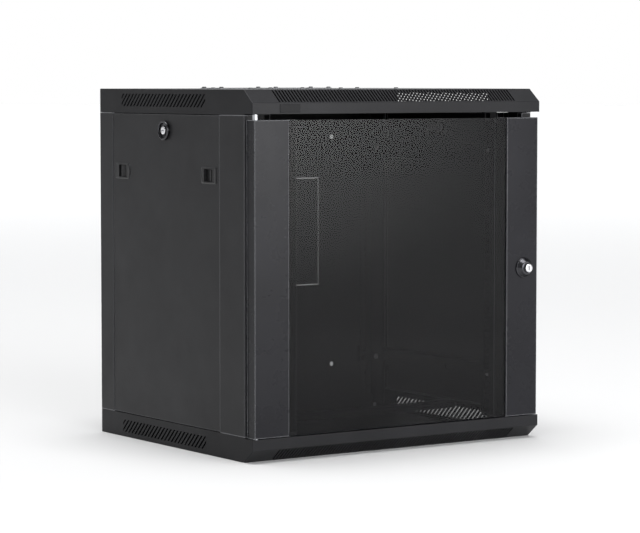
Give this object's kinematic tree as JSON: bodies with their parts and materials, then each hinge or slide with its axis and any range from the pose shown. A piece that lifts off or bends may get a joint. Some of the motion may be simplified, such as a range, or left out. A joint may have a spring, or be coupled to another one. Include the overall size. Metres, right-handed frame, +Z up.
{
  "type": "wall-mount network cabinet",
  "caption": "Wall-mount 19-inch network cabinet: slotted steel covers, hinged tinted glass door, lift-off side panels and sliding equipment rails.",
  "frame": {"origin": "middle of the underside that the cabinet stands on", "axes": "+X to the right seen from the front, +Y towards the back wall, +Z up; the door faces -Y"},
  "size_m": [0.6088, 0.516, 0.6182],
  "materials": {
    "cabinet_black": "fine textured powder coat",
    "tinted_glass": "polished",
    "zinc": "bright zinc plate",
    "chrome": "polished",
    "black_plastic": "moulded",
    "tape": "matt",
    "badge_black": "gloss"
  },
  "bodies": {
    "frame": {"blank_badge": "badge_black", "bottom_cover": "cabinet_black", "cable_plate_bottom": "cabinet_black", "cable_plate_top": "cabinet_black", "cross_brace_lower": "cabinet_black", "cross_brace_upper": "cabinet_black", "depth_bracket_lower_left": "cabinet_black", "depth_bracket_lower_right": "cabinet_black", "depth_bracket_upper_left": "cabinet_black", "depth_bracket_upper_right": "cabinet_black", "earth_stud": "zinc", "fan_screws_top": "cabinet_black", "frame_bolts": "zinc", "front_post_left": "cabinet_black", "front_post_right": "cabinet_black", "hinge_pin_lower": "zinc", "plate_screws_bottom": "cabinet_black", "plate_screws_top": "cabinet_black", "rear_panel": "cabinet_black", "rear_panel_screws": "cabinet_black", "rear_post_left": "cabinet_black", "rear_post_right": "cabinet_black", "top_cover": "cabinet_black"},
    "door": {"door_strip_hinge": "cabinet_black", "door_strip_lock": "cabinet_black", "door_glass": "tinted_glass", "door_glass_tape": "tape", "door_lock_body": "black_plastic", "door_lock_nut": "zinc", "hinge_bush_upper": "zinc", "hinge_bracket_upper": "cabinet_black"},
    "hinge_pin": {"hinge_pin_upper": "zinc", "hinge_spring_upper": "zinc"},
    "door_lock": {"door_lock_plug": "chrome", "door_lock_cam": "zinc"},
    "side_panel_left": {"side_panel_left": "cabinet_black", "side_lock_body_left": "chrome", "side_latch_frame_front_left": "black_plastic", "side_latch_frame_rear_left": "black_plastic"},
    "side_lock_left": {"side_lock_plug_left": "chrome", "side_lock_cam_left": "zinc"},
    "side_latch_front_left": {"side_latch_bolt_front_left": "black_plastic"},
    "side_latch_rear_left": {"side_latch_bolt_rear_left": "black_plastic"},
    "rail_front_left": {"mount_rail_front_left": "cabinet_black", "rail_bolts_front_left": "zinc"},
    "rail_rear_left": {"mount_rail_rear_left": "cabinet_black", "rail_bolts_rear_left": "zinc"},
    "side_panel_right": {"side_panel_right": "cabinet_black", "side_lock_body_right": "chrome", "side_latch_frame_front_right": "black_plastic", "side_latch_frame_rear_right": "black_plastic"},
    "side_lock_right": {"side_lock_plug_right": "chrome", "side_lock_cam_right": "zinc"},
    "side_latch_front_right": {"side_latch_bolt_front_right": "black_plastic"},
    "side_latch_rear_right": {"side_latch_bolt_rear_right": "black_plastic"},
    "rail_front_right": {"mount_rail_front_right": "cabinet_black", "rail_bolts_front_right": "zinc"},
    "rail_rear_right": {"mount_rail_rear_right": "cabinet_black", "rail_bolts_rear_right": "zinc"}
  },
  "joints": [
    {"name": "door_hinge", "type": "hinge", "parent": "frame", "child": "door", "pos_m": [-0.29, -0.243, 0.304], "axis": [0, 0, -1], "range_deg": [0, 180]},
    {"name": "hinge_pin_slide", "type": "slide", "parent": "door", "child": "hinge_pin", "axis": [0, 0, -1], "range_m": [0, 0.0065], "stiffness_N_per_m": 900, "springref_m": -0.006, "deforming": ["hinge_spring_upper"]},
    {"name": "door_lock_turn", "type": "hinge", "parent": "door", "child": "door_lock", "pos_m": [0.266, -0.25, 0.302], "axis": [0, -1, 0], "range_deg": [0, 90]},
    {"name": "side_panel_left_lift_off", "type": "slide", "parent": "frame", "child": "side_panel_left", "axis": [-1, 0, 0], "range_m": [0, 0.15]},
    {"name": "side_lock_left_turn", "type": "hinge", "parent": "side_panel_left", "child": "side_lock_left", "pos_m": [-0.2992, 0.0275, 0.544], "axis": [1, 0, 0], "range_deg": [0, 90]},
    {"name": "side_latch_front_left_slide", "type": "slide", "parent": "side_panel_left", "child": "side_latch_front_left", "axis": [0, -1, 0], "range_m": [0, 0.006]},
    {"name": "side_latch_rear_left_slide", "type": "slide", "parent": "side_panel_left", "child": "side_latch_rear_left", "axis": [0, 1, 0], "range_m": [0, 0.006]},
    {"name": "rail_front_left_slide", "type": "slide", "parent": "frame", "child": "rail_front_left", "axis": [0, 1, 0], "range_m": [0, 0.12]},
    {"name": "rail_rear_left_slide", "type": "slide", "parent": "frame", "child": "rail_rear_left", "axis": [0, -1, 0], "range_m": [0, 0.12]},
    {"name": "side_panel_right_lift_off", "type": "slide", "parent": "frame", "child": "side_panel_right", "axis": [1, 0, 0], "range_m": [0, 0.15]},
    {"name": "side_lock_right_turn", "type": "hinge", "parent": "side_panel_right", "child": "side_lock_right", "pos_m": [0.2992, 0.0275, 0.544], "axis": [1, 0, 0], "range_deg": [0, 90]},
    {"name": "side_latch_front_right_slide", "type": "slide", "parent": "side_panel_right", "child": "side_latch_front_right", "axis": [0, -1, 0], "range_m": [0, 0.006]},
    {"name": "side_latch_rear_right_slide", "type": "slide", "parent": "side_panel_right", "child": "side_latch_rear_right", "axis": [0, 1, 0], "range_m": [0, 0.006]},
    {"name": "rail_front_right_slide", "type": "slide", "parent": "frame", "child": "rail_front_right", "axis": [0, 1, 0], "range_m": [0, 0.12]},
    {"name": "rail_rear_right_slide", "type": "slide", "parent": "frame", "child": "rail_rear_right", "axis": [0, -1, 0], "range_m": [0, 0.12]}
  ]
}
